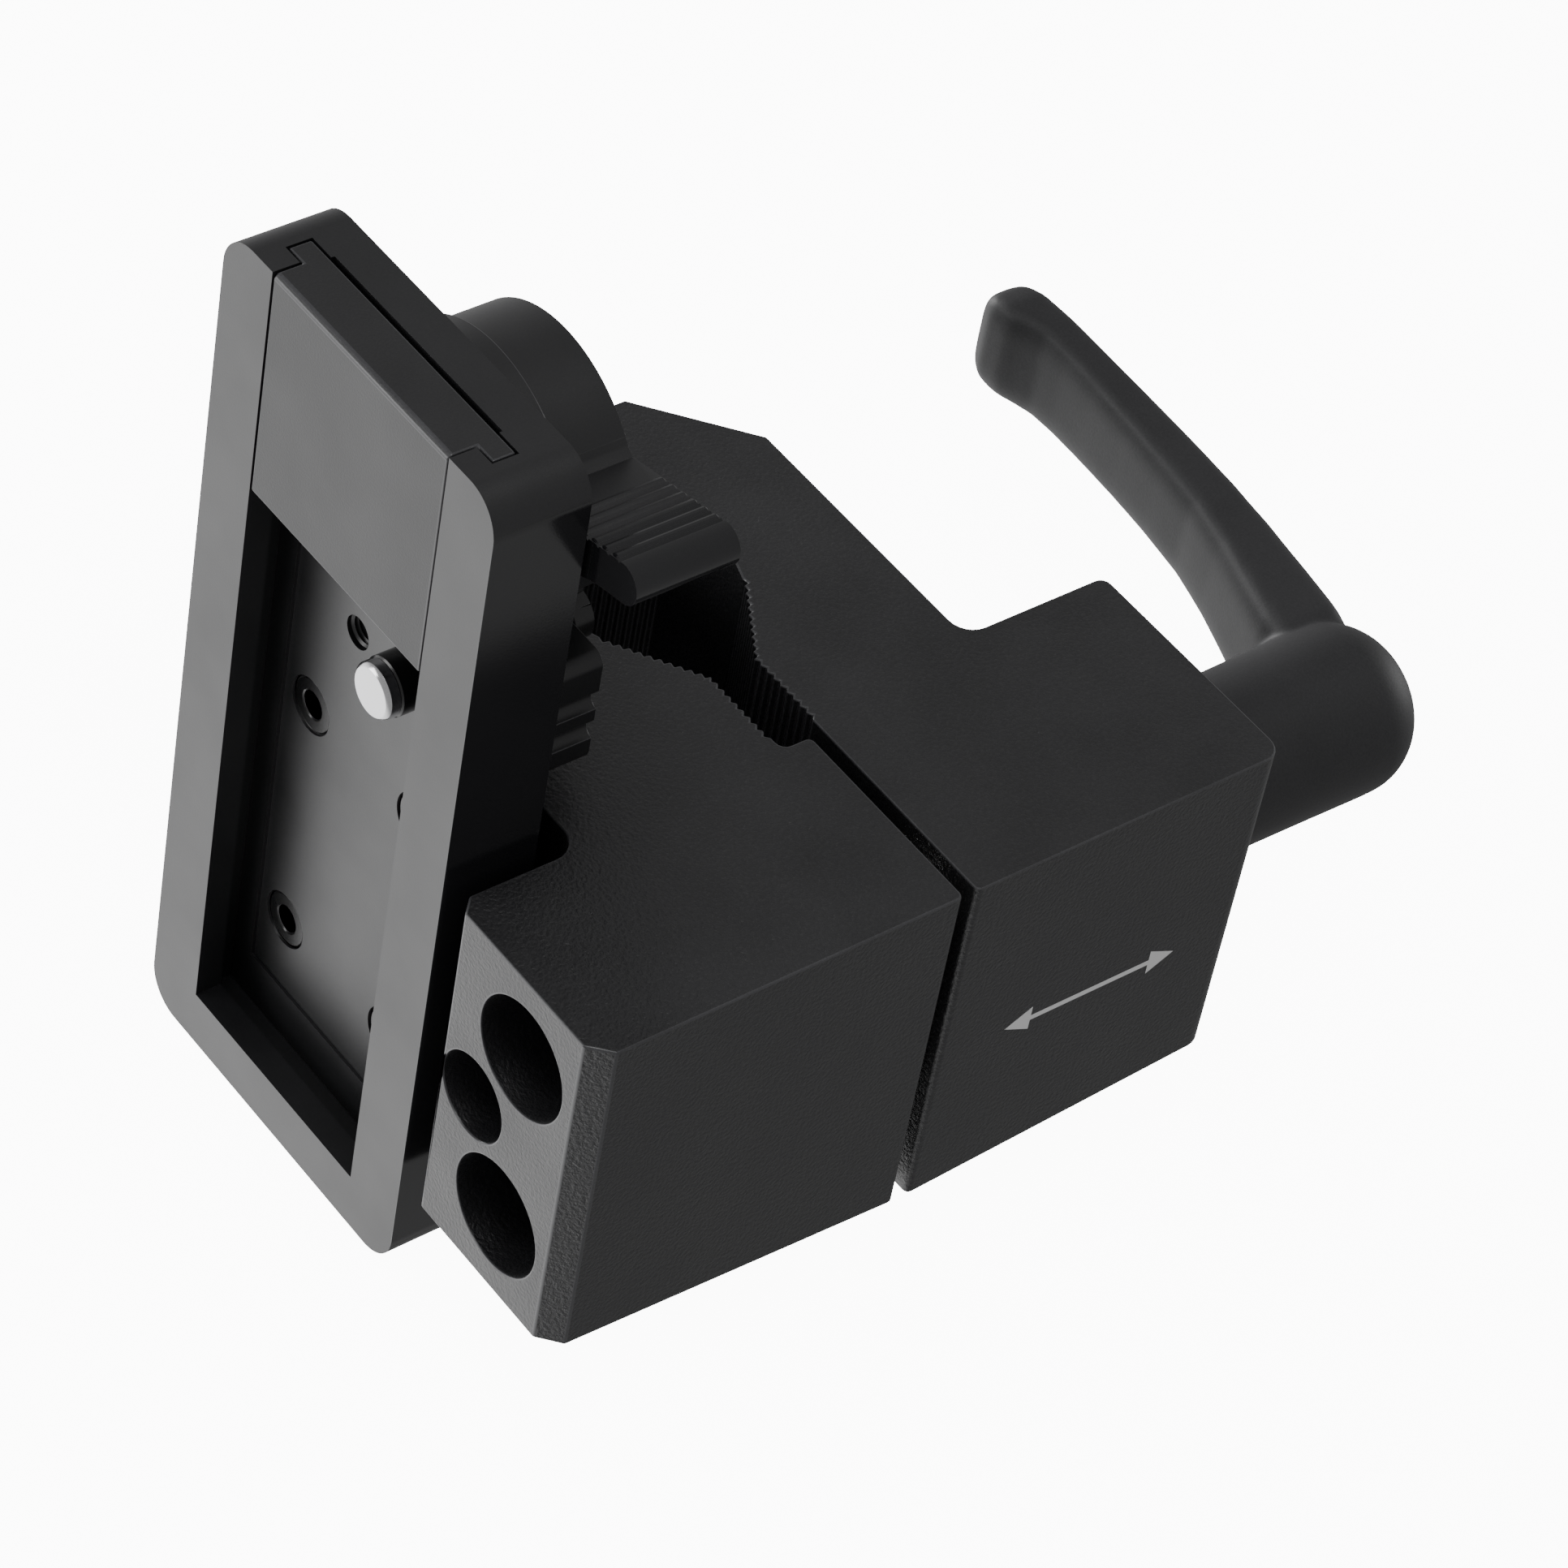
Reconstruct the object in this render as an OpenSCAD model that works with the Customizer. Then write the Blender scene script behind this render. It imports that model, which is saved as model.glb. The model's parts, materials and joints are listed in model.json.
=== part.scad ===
// Pole clamp with a quick-release receiver.
// X runs across the receiver, Y from its front face towards the clamping lever, Z up.
// The origin is the middle of the receiver's bottom edge, in its front face.

/* [Receiver] */
// Width of the receiver frame
rec_w = 60; // [54:1:72]
// Height of the receiver frame
rec_h = 141.5; // [136:0.5:170]
// Thickness of the receiver frame
rec_t = 14.7; // [13.5:0.1:18]
// Radius of its four corners
rec_r = 6; // [3:0.5:8]
// Width of the pocket between the lips
pocket_w = 39; // [33:0.5:45]
// Height of the bar under the pocket
bar_h = 9; // [7:0.5:12]
// Thickness of the lips over the T-slot
lip_t = 4.1; // [3:0.1:5]
// Height of the T-slot under the lips, in Y
slot_t = 4.05; // [3.5:0.05:5]
// How far the T-slot undercuts each lip
undercut = 3.3; // [2:0.1:3.8]
// Depth of the shallow relief in the pocket floor
relief_t = 0.5; // [0.3:0.1:1]
// Margin between the relief and the pocket's sides
relief_margin = 1; // [0.5:0.5:4]
// Major diameter of the accessory thread in the floor
thread_d = 5; // [4:1:6]
// Place of the accessory thread across the frame
thread_x = -4.5; // [-8:0.5:-3]
// Height of the accessory thread
thread_z = 88; // [84:0.5:92]

/* [Slide plate] */
// Height of the slide plate
plate_h = 36.5; // [30:0.5:38]
// Gap between the plate and the slot on each side
plate_gap = 0.3; // [0.2:0.05:0.5]

/* [Frame screws] */
// Spacing of the frame screws across
screw_dx = 25; // [20:0.5:27]
// Spacing of the frame screws in height
screw_dz = 41.5; // [36:0.5:44]
// Diameter of the frame screws
screw_d = 4; // [3:0.5:5]
// Diameter of their countersunk heads
screw_head_d = 8.4; // [7:0.1:9]

/* [Lock pin] */
// Place of the lock pin across the frame
pin_x = 7.2; // [6:0.1:9]
// Height of the lock pin
pin_z = 90; // [88:0.5:92]
// Outer diameter of the pin's sleeve
pin_d = 8.6; // [7:0.1:9]
// Diameter of the pin's bright core
pin_core_d = 5; // [4:0.1:5.5]
// How far the tip sits back from the front face
pin_back = 2.4; // [1:0.1:3]
// Travel of the lock pin
pin_travel = 6; // [5.9:0.1:7]

/* [Release lever] */
// Height of the lever's axis
hub_z = 115.5; // [114:0.5:118]
// Radius of the base disc
disc_r = 20.5; // [19.5:0.5:22]
// Thickness of the base disc
disc_t = 6.8; // [5:0.1:8]
// Radius of the lever's ring
ring_r = 19.3; // [18:0.1:21]
// Thickness of the lever's ring
ring_t = 10.2; // [9:0.1:12]
// Reach of the thumb tab from the lever's axis
tab_reach = 39.4; // [36:0.1:44]
// Thickness of the thumb tab
tab_t = 6; // [5:0.1:7]
// Pitch of the thumb ribs
rib_pitch = 2.2; // [1.8:0.1:2.6]
// Number of thumb ribs
rib_count = 6; // [4:1:7]
// Turn of the lever that draws the pin right back, in degrees
lever_turn = 20; // [18:1:22]

/* [Latch housing] */
// Width of the latch housing
latch_w = 46; // [40:1:48]
// Height of the latch housing
latch_h = 19; // [18:0.5:20]
// Thickness of the latch housing
latch_t = 12.6; // [11:0.1:12.6]
// Height of its underside
latch_z = 79.5; // [78:0.5:80.5]

/* [Jaws] */
// Height of the jaws at the clamp gap
jaw_h = 60.5; // [54:0.5:62]
// Height of the jaws' top face
jaw_top = 75.5; // [70:0.5:77]
// How much shorter the jaws are at their outer ends
jaw_taper = 3.4; // [0:0.1:6]
// Gap between the receiver frame and the jaw block
block_gap = 2.6; // [1:0.1:4]
// Width of the jaw block
block_w = 31.7; // [30:0.1:38]
// Length of the front jaw, from front face to clamp face
front_len = 59.2; // [52:0.1:70]
// Length of the rear jaw, from clamp face to rear face
rear_len = 53.4; // [46:0.1:64]
// Gap between the closed jaws
gap = 2.2; // [1:0.1:4]
// Thickness of the pad between the frame and the front jaw's arm
pad_t = 5.3; // [4:0.1:8]
// Width of that pad
pad_w = 40; // [36:1:46]
// Depth of the rear jaw's arm
rear_arm_t = 28.6; // [24:0.1:34]
// Distance of the arm's tip from the frame's middle
tip_x = 36.3; // [34:0.1:42]
// Bevel across the arm's outer corner, along the arm
tip_bevel_x = 15.7; // [8:0.1:18]
// Bevel across the arm's outer corner, in Y
tip_bevel_y = 13.4; // [6:0.1:14]
// Bevel on the block's outer front edge
block_bevel = 3.1; // [1:0.1:4]

/* [Vee] */
// Place of the vee's middle across the frame
vee_x = -6.5; // [-9:0.1:-4]
// Half the width of the vee's mouth
vee_half = 21.3; // [18:0.1:22]
// Half the width of the vee's floor
vee_floor = 7.8; // [5:0.1:9]
// Depth of the front jaw's vee
vee_front = 9; // [6:0.1:10]
// Depth of the rear jaw's vee
vee_rear = 8.2; // [6:0.1:10]
// Step from the clamp face down to the front jaw's toothed face
throat = 4.8; // [3:0.1:6]
// Pitch of the jaw teeth
tooth_pitch = 1.5; // [1.2:0.1:2.5]
// Depth of the jaw teeth
tooth_t = 0.7; // [0.4:0.1:1]

/* [Bores and screw] */
// Distance of the clamp screw from the block's inner face
drive_x = 9.1; // [8.5:0.1:10]
// Height of the clamp screw
drive_z = 47; // [44:0.5:48]
// Diameter of the clamp screw
drive_d = 10; // [8:0.5:10]
// Diameter of the front jaw's screw bore
drive_bore = 13.2; // [12:0.1:13.4]
// Distance of the guide rods from the clamp screw, across
rod_dx = 8.3; // [8:0.1:9]
// Distance of the guide rods from the clamp screw, in height
rod_dz = 15.3; // [15:0.1:16]
// Diameter of the guide rods
rod_d = 12; // [10:0.5:13]
// Diameter of the counterbores over the guide rods
rod_bore = 17.8; // [16:0.1:18]
// Depth from the front face to the rods' end screws
rod_back = 19; // [17:0.5:20]
// Radial wall of the guide bushes
bush_t = 1.5; // [1:0.1:2]
// Running clearance of shafts and bushes, on radius
run = 0.05; // [0.02:0.01:0.08]

/* [Clamping lever] */
// Diameter of the lever's hub
knob_d = 25; // [22:0.5:28]
// Length of the lever's hub
knob_len = 45; // [42:0.5:52]
// Reach of the lever's arm from its axis
arm_reach = 93; // [80:1:110]
// Height of the arm's section at the tip
arm_h = 11; // [9:0.5:13]
// Rise of the arm's inner face towards the tip
arm_rise = 10; // [5:0.5:12]
// Thickness of the thrust washer
thrust_t = 1.2; // [1:0.1:2]

/* [Hidden] */
$fn = 64;
eps = 0.01;

slot_y = lip_t + slot_t;
slot_half = pocket_w / 2 + undercut;
plate_z = rec_h - plate_h;
screw_mid_z = drive_z;
screw_len = 14;

disc_y0 = rec_t;
ring_y0 = disc_y0 + disc_t + 0.3;
ring_y1 = ring_y0 + ring_t;
pivot_d = 8;
pivot_head_d = 16;
pivot_head_t = 3;
spring_wire = 1;

pin_tip_t = 2.2;
sleeve_len = 8;
pin_angle = atan2(pin_z - hub_z, pin_x);
cam_r = 13;
cam_w = 6;
yoke_gap = 0.4;
yoke_t = 3;
yoke_y0 = ring_y1 + yoke_gap;
nose_half = 1.5;

jaw_bottom = jaw_top - jaw_h;
block_x0 = rec_w / 2 + block_gap;
block_x1 = block_x0 + block_w;
front_y1 = front_len;
rear_y0 = front_len + gap;
rear_y1 = rear_y0 + rear_len;
arm_y0 = rec_t + pad_t;
rear_arm_y1 = rear_y0 + rear_arm_t;
throat_x = vee_x + vee_half;
throat_end = block_x0 - 3;
rear_step_x = block_x0 - 7.6;

drive_cx = block_x0 + drive_x;
rod_cx = drive_cx + rod_dx;
bush_len = 17;
bush_y0 = front_y1 - bush_len;
bush_d = rod_d + 2 * bush_t;
rod_washer_t = 1.5;
rod_y0 = rod_back + 4.5;
rod_y1 = rear_y1 - 12;
thread_len = 22;

knob_y0 = rear_y1 + thrust_t + 0.3;
insert_y0 = rear_y1 + thrust_t;
insert_d = 15;
insert_len = 20;
cap_shank_d = 5;
cap_head_d = 9;
cap_head_t = 4;
cap_bore = cap_head_d + 2 * run;
wall_y0 = insert_y0 + insert_len + 0.3;
wall_y1 = wall_y0 + 3;
cap_head_y = wall_y1 + 14;

// ---- helpers ----

// Cylinder along +Y from y0 to y1
module bar_y(x, z, d, y0, y1) {
    translate([x, y0, z]) rotate([-90, 0, 0]) cylinder(d = d, h = y1 - y0);
}

// Cone along +Y from y0 to y1
module cone_y(x, z, d0, d1, y0, y1) {
    translate([x, y0, z]) rotate([-90, 0, 0]) cylinder(d1 = d0, d2 = d1, h = y1 - y0);
}

// Tube along +Y
module tube_y(x, z, d, bore, y0, y1) {
    difference() {
        bar_y(x, z, d, y0, y1);
        bar_y(x, z, bore, y0 - 1, y1 + 1);
    }
}

// Upright prism: an outline drawn in X and Z, from y0 to y1
module prism_y(y0, y1) {
    translate([0, y1, 0]) rotate([90, 0, 0]) linear_extrude(y1 - y0) children();
}

// Hexagon socket cut from the face at y, going in along dir (1 is +Y)
module hex_socket(x, z, across, y, depth, dir = 1) {
    translate([x, y - dir * eps, z]) rotate([-90 * dir, 0, 0])
        cylinder(d = across / cos(30), h = depth, $fn = 6);
}

// Close-wound spring along +Y, as a stack of rings joined by a thin wall
module ring_spring(x, z, d, wire, y0, y1) {
    turns = max(3, round((y1 - y0) / (2.2 * wire)));
    pitch = (y1 - y0 - wire) / (turns - 1);
    translate([x, y0 + wire / 2, z]) rotate([-90, 0, 0]) union() {
        for (i = [0 : turns - 1])
            translate([0, 0, i * pitch]) rotate_extrude($fn = 32)
                translate([(d - wire) / 2, 0]) circle(d = wire, $fn = 16);
        rotate_extrude($fn = 32) translate([(d - wire) / 2 - wire / 8, 0])
            square([wire / 4, y1 - y0 - wire]);
    }
}

// Rounded outline: corners of a rectangle w by h, its low corner at [x, z]
module round_rect(x, z, w, h, r) {
    translate([x + r, z + r]) offset(r = r) square([w - 2 * r, h - 2 * r]);
}

// Exact rounded plate along +Y, made of bars and slabs
module round_plate(x, z, w, h, r, y0, y1) {
    translate([x + r, y0, z]) cube([w - 2 * r, y1 - y0, h]);
    translate([x, y0, z + r]) cube([w, y1 - y0, h - 2 * r]);
    for (cx = [x + r, x + w - r], cz = [z + r, z + h - r]) bar_y(cx, cz, 2 * r, y0, y1);
}

// Points of a toothed line from a to b: count teeth that rise on its left side
function teeth(a, b, depth) =
    let (v = b - a, len = norm(v), count = max(1, round(len / tooth_pitch)), n = [-v[1], v[0]] / len)
    [for (i = [0 : count - 1]) each [a + v * i / count, a + v * (i + 0.5) / count + n * depth]];

// Points of an arc about c, from angle a0 to a1
function arc(c, r, a0, a1, steps = 6) =
    [for (i = [0 : steps]) c + r * [cos(a0 + (a1 - a0) * i / steps), sin(a0 + (a1 - a0) * i / steps)]];

// ---- receiver ----

module countersunk_seats() {
    for (sx = [-1, 1], sz = [-1, 1]) {
        x = sx * screw_dx / 2;
        z = screw_mid_z + sz * screw_dz / 2;
        bar_y(x, z, screw_d + 0.4, slot_y + 1, rec_t + 1);
        cone_y(x, z, screw_head_d + 0.4, screw_d + 0.4, slot_y + 0.9,
            slot_y + 0.9 + (screw_head_d - screw_d) / 2);
        bar_y(x, z, screw_head_d + 0.4, slot_y - 1, slot_y + 0.9 + eps);
    }
}

module receiver_frame() {
    color("dimgray") difference() {
        round_plate(-rec_w / 2, 0, rec_w, rec_h, rec_r, 0, rec_t);
        // pocket between the lips, open at the top
        translate([-pocket_w / 2, -1, bar_h]) cube([pocket_w, lip_t + 1 + eps, rec_h]);
        // T-slot under the lips and under the bottom bar
        translate([-slot_half, lip_t, bar_h - undercut]) cube([2 * slot_half, slot_t, rec_h]);
        // shallow relief in the floor
        translate([-pocket_w / 2 + relief_margin, slot_y - eps, bar_h + relief_margin + 4])
            cube([pocket_w - 2 * relief_margin, relief_t + eps, rec_h]);
        countersunk_seats();
        bar_y(thread_x, thread_z, thread_d, slot_y - 1, rec_t + 1);
        bar_y(pin_x, pin_z, pin_d + 2 * run, slot_y - 1, rec_t + 1);
        // pivot screw of the release lever, hidden behind the slide plate
        bar_y(0, hub_z, pivot_d - 2, slot_y - 1, rec_t + 1);
        for (a = [45 : 90 : 315])
            bar_y(14 * cos(a), hub_z + 14 * sin(a), 3.4, slot_y - 1, rec_t + 1);
        for (a = [45 : 90 : 315])
            cone_y(14 * cos(a), hub_z + 14 * sin(a), 6.6, 3.2,
                slot_y + relief_t - eps, slot_y + relief_t + 1.7);
        for (sx = [-1, 1]) bar_y(sx * (latch_w / 2 - 8), latch_z + 7, 2.6, rec_t - 4, rec_t + 1);
    }
}

module slide_plate() {
    w = pocket_w - 2 * plate_gap;
    fw = 2 * slot_half - 2 * plate_gap;
    c = 0.6;
    color("dimgray") difference() {
        union() {
            translate([-w / 2, 0, plate_z]) cube([w, slot_y - plate_gap, plate_h]);
            translate([-fw / 2, lip_t + plate_gap, plate_z])
                cube([fw, slot_t - 2 * plate_gap, plate_h]);
        }
        // bevel along the top front edge
        translate([-rec_w / 2, 0, rec_h - c]) rotate([45, 0, 0]) translate([0, -3, 0]) cube([rec_w, 6, 3]);
    }
}

module frame_screws() {
    color("black") for (sx = [-1, 1], sz = [-1, 1]) {
        x = sx * screw_dx / 2;
        z = screw_mid_z + sz * screw_dz / 2;
        y0 = slot_y + 1;
        cone_h = (screw_head_d - screw_d) / 2;
        difference() {
            union() {
                cone_y(x, z, screw_head_d, screw_d, y0, y0 + cone_h);
                bar_y(x, z, screw_d, y0 + cone_h - eps, slot_y + screw_len);
            }
            hex_socket(x, z, 2.5, y0, 1.8);
        }
    }
}

// ---- lock pin ----

module lock_pin() {
    color("silver") {
        cone_y(pin_x, pin_z, pin_d - 1.6, pin_d - 0.4, pin_back, pin_back + 0.6);
        bar_y(pin_x, pin_z, pin_d - 0.4, pin_back + 0.6 - eps, pin_back + pin_tip_t);
        bar_y(pin_x, pin_z, pin_core_d, pin_back + pin_tip_t - eps, yoke_y0 + yoke_t);
    }
}

module pin_sleeve() {
    y0 = pin_back + pin_tip_t;
    color("black") tube_y(pin_x, pin_z, pin_d, pin_core_d, y0, y0 + sleeve_len);
}

// Plate on the pin's tail that reaches up to the cam on the lever's back
module pin_yoke() {
    nose = cam_r * [cos(pin_angle), sin(pin_angle)] + [0, hub_z];
    reach = norm(nose - [pin_x, pin_z]) + cam_w / 2;
    color("#202022") difference() {
        union() {
            bar_y(pin_x, pin_z, 7.6, yoke_y0, yoke_y0 + yoke_t);
            translate([pin_x, 0, pin_z]) rotate([0, 180 - (pin_angle + 90) - 180, 0])
                translate([-nose_half, yoke_y0, 0]) cube([2 * nose_half, yoke_t, reach]);
        }
        bar_y(pin_x, pin_z, pin_core_d, yoke_y0 - 1, yoke_y0 + yoke_t + 1);
    }
}

module pin_spring() {
    color("lightgray") ring_spring(pin_x, pin_z, 8, spring_wire,
        pin_back + pin_tip_t + sleeve_len + 0.1, rec_t + latch_t - 2.1);
}

module latch_housing() {
    x0 = -latch_w / 2;
    z1 = latch_z + latch_h;
    color("dimgray") difference() {
        round_plate(x0, latch_z, latch_w, latch_h, 2, rec_t, rec_t + latch_t);
        // room for the lever's base disc and ring
        bar_y(0, hub_z, 2 * (disc_r + 0.6), rec_t - 1, rec_t + latch_t + 1);
        // finger grooves across both ends
        for (sx = [-1, 1], dz = [7.8, 13.1])
            bar_y(sx * (latch_w / 2 + 0.2), z1 - dz, 3.2, rec_t - 1, rec_t + latch_t + 1);
        // spring chamber and tail bore of the lock pin
        bar_y(pin_x, pin_z, pin_d + 2 * run, rec_t - 1, rec_t + latch_t - 2);
        bar_y(pin_x, pin_z, pin_core_d + 2 * run, rec_t, rec_t + latch_t + 1);
        for (sx = [-1, 1]) {
            bar_y(sx * (latch_w / 2 - 8), latch_z + 7, 3.2, rec_t - 1, rec_t + latch_t + 1);
            bar_y(sx * (latch_w / 2 - 8), latch_z + 7, 5.8, rec_t + latch_t - 3.2, rec_t + latch_t + 1);
        }
    }
}

module latch_screws() {
    head_y0 = rec_t + latch_t - 3.2;
    color("black") for (sx = [-1, 1]) {
        x = sx * (latch_w / 2 - 8);
        z = latch_z + 7;
        difference() {
            union() {
                bar_y(x, z, 5.4, head_y0, head_y0 + 2.8);
                bar_y(x, z, 2.5, rec_t - 3.5, head_y0 + eps);
            }
            hex_socket(x, z, 2.5, head_y0 + 2.8, 1.4, -1);
        }
    }
}

// ---- release lever ----

module base_disc() {
    color("dimgray") difference() {
        bar_y(0, hub_z, 2 * disc_r, disc_y0, disc_y0 + disc_t);
        bar_y(0, hub_z, pivot_d - 2, disc_y0 - 1, disc_y0 + disc_t + 1);
        for (a = [45 : 90 : 315])
            bar_y(14 * cos(a), hub_z + 14 * sin(a), 3, disc_y0 - 1, disc_y0 + 4.5);
    }
}

module base_disc_screws() {
    y0 = slot_y + relief_t + 0.1;
    color("black") for (a = [45 : 90 : 315]) {
        x = 14 * cos(a);
        z = hub_z + 14 * sin(a);
        difference() {
            union() {
                cone_y(x, z, 6.2, 3, y0, y0 + 1.6);
                bar_y(x, z, 3, y0 + 1.6 - eps, disc_y0 + 4);
            }
            hex_socket(x, z, 2, y0, 1);
        }
    }
}

// Outline of the thumb tab, drawn about the lever's axis
module tab_outline() {
    slope = 13.3;
    tip_r = tab_t / 2;
    tip = [tab_reach - tip_r, 15.1 - tip_r];
    along = [cos(slope), sin(slope)];
    n = [-sin(slope), cos(slope)];
    root = tip + n * tip_r - 19.4 * along;
    difference() {
        polygon(concat(
            arc(tip, tip_r, slope + 90, -68, 10),
            [[tab_reach - 8, 15.1 - tip_r - 4.1], [19, 3], [15, 1.4], [13, 12.6],
                [14.8, 12.4], root - [1.4, -0.9], root]));
        // valleys between the ribs
        for (i = [0 : rib_count - 1])
            translate(tip + n * (tip_r + 0.35) - (0.6 + i * rib_pitch) * along)
                rotate(slope + 45) square(1, center = true);
    }
}

module release_lever() {
    color("dimgray") difference() {
        union() {
            bar_y(0, hub_z, 2 * ring_r, ring_y0, ring_y1);
            // thumb tab, reaching forward beside the base disc
            difference() {
                translate([0, 0, hub_z]) prism_y(rec_t + 1.3, ring_y1) tab_outline();
                bar_y(0, hub_z, 2 * (disc_r + 0.8), 0, ring_y0);
            }
        }
        bar_y(0, hub_z, pivot_d + 2 * run, 0, ring_y1 + 1);
        // chamber of the return spring
        bar_y(0, hub_z, 16, ring_y0 - 1, ring_y0 + 4);
    }
}

// Stair on the lever's back that lifts the yoke's nose as the lever turns
module release_cam() {
    steps = 10;
    a0 = pin_angle + asin((nose_half + 0.25) / (cam_r - cam_w / 2));
    a1 = pin_angle + lever_turn + 16;
    rise = pin_travel / lever_turn;
    color("#202022") union() for (i = [0 : steps - 1]) {
        b0 = a0 + (a1 - a0) * i / steps;
        h = min(pin_travel, rise * (a1 - a0) * (i + 0.5) / steps) - 0.2;
        translate([0, 0, hub_z]) prism_y(ring_y1, ring_y1 + max(0.2, h))
            polygon(concat(arc([0, 0], cam_r + cam_w / 2, b0, a1, 5),
                arc([0, 0], cam_r - cam_w / 2, a1, b0, 5)));
    }
}

module lever_spring() {
    color("lightgray") ring_spring(0, hub_z, 14, spring_wire, ring_y0 + 0.2, ring_y0 + 3.7);
}

module pivot_washer() {
    color("silver") tube_y(0, hub_z, 18, pivot_d - 2 + 0.2, ring_y1 + 0.1, ring_y1 + 1.1);
}

module pivot_screw() {
    y1 = ring_y1 + 1.2;
    color("black") difference() {
        union() {
            bar_y(0, hub_z, pivot_d - 2.2, slot_y + relief_t + 1, y1 + eps);
            bar_y(0, hub_z, pivot_d, disc_y0 + disc_t + 0.05, ring_y1 + 0.05);
            bar_y(0, hub_z, pivot_head_d - 3, y1, y1 + pivot_head_t);
        }
        hex_socket(0, hub_z, 4, y1 + pivot_head_t, 2, -1);
    }
}

// ---- jaws ----

// Side profile of a jaw: its underside falls towards the clamp gap
module jaw_profile(y_outer, y_gap) {
    rotate([90, 0, 90]) linear_extrude(200, center = true) polygon([
        [y_outer, jaw_top], [y_gap, jaw_top], [y_gap, jaw_bottom], [y_outer, jaw_bottom + jaw_taper]]);
}

// Plan of the front jaw
module front_plan() {
    face = front_y1 - throat;
    floor_y = face - vee_front;
    polygon(concat(
        [[block_x0 + 2.4, 0], [block_x1 - block_bevel, 0], [block_x1, block_bevel]],
        arc([block_x1 - 1, front_y1 - 1], 1, 0, 90, 4),
        arc([throat_end + 2, front_y1 - 1], 1, 90, 180, 4),
        arc([throat_end - 0.5, face + 1.5], 1.5, 0, -90, 4),
        teeth([throat_end - 1.5, face], [throat_x, face], tooth_t),
        teeth([throat_x, face], [vee_x + vee_floor, floor_y], tooth_t),
        [[vee_x + vee_floor, floor_y], [vee_x + vee_floor - 4, floor_y - 1.6],
            [vee_x - vee_floor + 4, floor_y - 1.6]],
        teeth([vee_x - vee_floor, floor_y], [vee_x - vee_half, face], tooth_t),
        arc([2 - tip_x, face - 2], 2, 90, 180, 4),
        [[-tip_x, arm_y0 + tip_bevel_y], [-tip_x + tip_bevel_x, arm_y0], [-pad_w / 2, arm_y0],
            [-pad_w / 2, rec_t], [pad_w / 2, rec_t], [pad_w / 2, arm_y0]],
        arc([block_x0 - 4, arm_y0 - 4], 4, 90, 0, 6),
        [[block_x0, 2.4]]));
}

module front_jaw() {
    color("#2b2b2d") difference() {
        intersection() {
            translate([0, 0, jaw_bottom - 1]) linear_extrude(jaw_h + 2) front_plan();
            jaw_profile(0, front_y1);
        }
        // guide bores, wide for the rods' end washers and narrower for the bushes
        for (sz = [-1, 1]) {
            bar_y(rod_cx, drive_z + sz * rod_dz, rod_bore, -1, bush_y0);
            bar_y(rod_cx, drive_z + sz * rod_dz, bush_d, bush_y0 - 1, front_y1 + 1);
        }
        bar_y(drive_cx, drive_z, drive_bore, -1, front_y1 + 1);
        // taps of the frame screws
        for (sx = [-1, 1], sz = [-1, 1])
            bar_y(sx * screw_dx / 2, screw_mid_z + sz * screw_dz / 2, screw_d,
                rec_t - 1, slot_y + screw_len + 4);
    }
}

// Plan of the rear jaw
module rear_outline() {
    floor_y = rear_y0 + vee_rear;
    polygon(concat(
        arc([2 - tip_x, rear_y0 + 2], 2, 180, 270, 4),
        teeth([vee_x - vee_half, rear_y0], [vee_x - vee_floor, floor_y], tooth_t),
        [[vee_x - vee_floor, floor_y], [vee_x - vee_floor + 4, floor_y + 1.3],
            [vee_x + vee_floor - 4, floor_y + 1.3]],
        teeth([vee_x + vee_floor, floor_y], [throat_x, rear_y0], tooth_t),
        teeth([throat_x, rear_y0], [throat_end - 1.5, rear_y0], tooth_t),
        [[throat_end - 1.5, rear_y0]],
        arc([block_x1 - 1, rear_y0 + 1], 1, -90, 0, 4),
        arc([block_x1 - 3, rear_y1 - 3], 3, 0, 90, 6),
        arc([rear_step_x + 1.6, rear_y1 - 1.6], 1.6, 90, 180, 4),
        arc([rear_step_x - 3.5, rear_arm_y1 + 3.5], 3.5, 0, -90, 6),
        [[-tip_x + tip_bevel_x, rear_arm_y1], [-tip_x, rear_arm_y1 - tip_bevel_y]]));
}

module rear_jaw() {
    color("#2b2b2d") difference() {
        intersection() {
            translate([0, 0, jaw_bottom - 1]) linear_extrude(jaw_h + 2) rear_outline();
            jaw_profile(rear_y1, rear_y0 - 1);
        }
        bar_y(drive_cx, drive_z, drive_d + 2 * run, rear_y0 - 2, rear_y1 + 1);
        // recess of the ring that lets the screw pull the jaw open
        bar_y(drive_cx, drive_z, drive_d + 8.4, rear_y0 - 2, rear_y0 + 3);
        // blind bores that the guide rods are pressed into
        for (sz = [-1, 1]) bar_y(rod_cx, drive_z + sz * rod_dz, rod_d, rear_y0 - 2, rod_y1 + 0.5);
    }
}

// ---- guide rods ----

module guide_rod(sz) {
    z = drive_z + sz * rod_dz;
    color("silver") difference() {
        union() {
            bar_y(rod_cx, z, rod_d, rod_y0, rod_y1 - 1);
            cone_y(rod_cx, z, rod_d, rod_d - 2, rod_y1 - 1, rod_y1);
        }
        bar_y(rod_cx, z, 5, rod_y0 - 1, rod_y0 + 12);
    }
}

module upper_guide_rod() {
    guide_rod(1);
}

module lower_guide_rod() {
    guide_rod(-1);
}

module guide_bushes() {
    color("peru") for (sz = [-1, 1])
        tube_y(rod_cx, drive_z + sz * rod_dz, bush_d, rod_d + 2 * run, bush_y0, front_y1);
}

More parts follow.
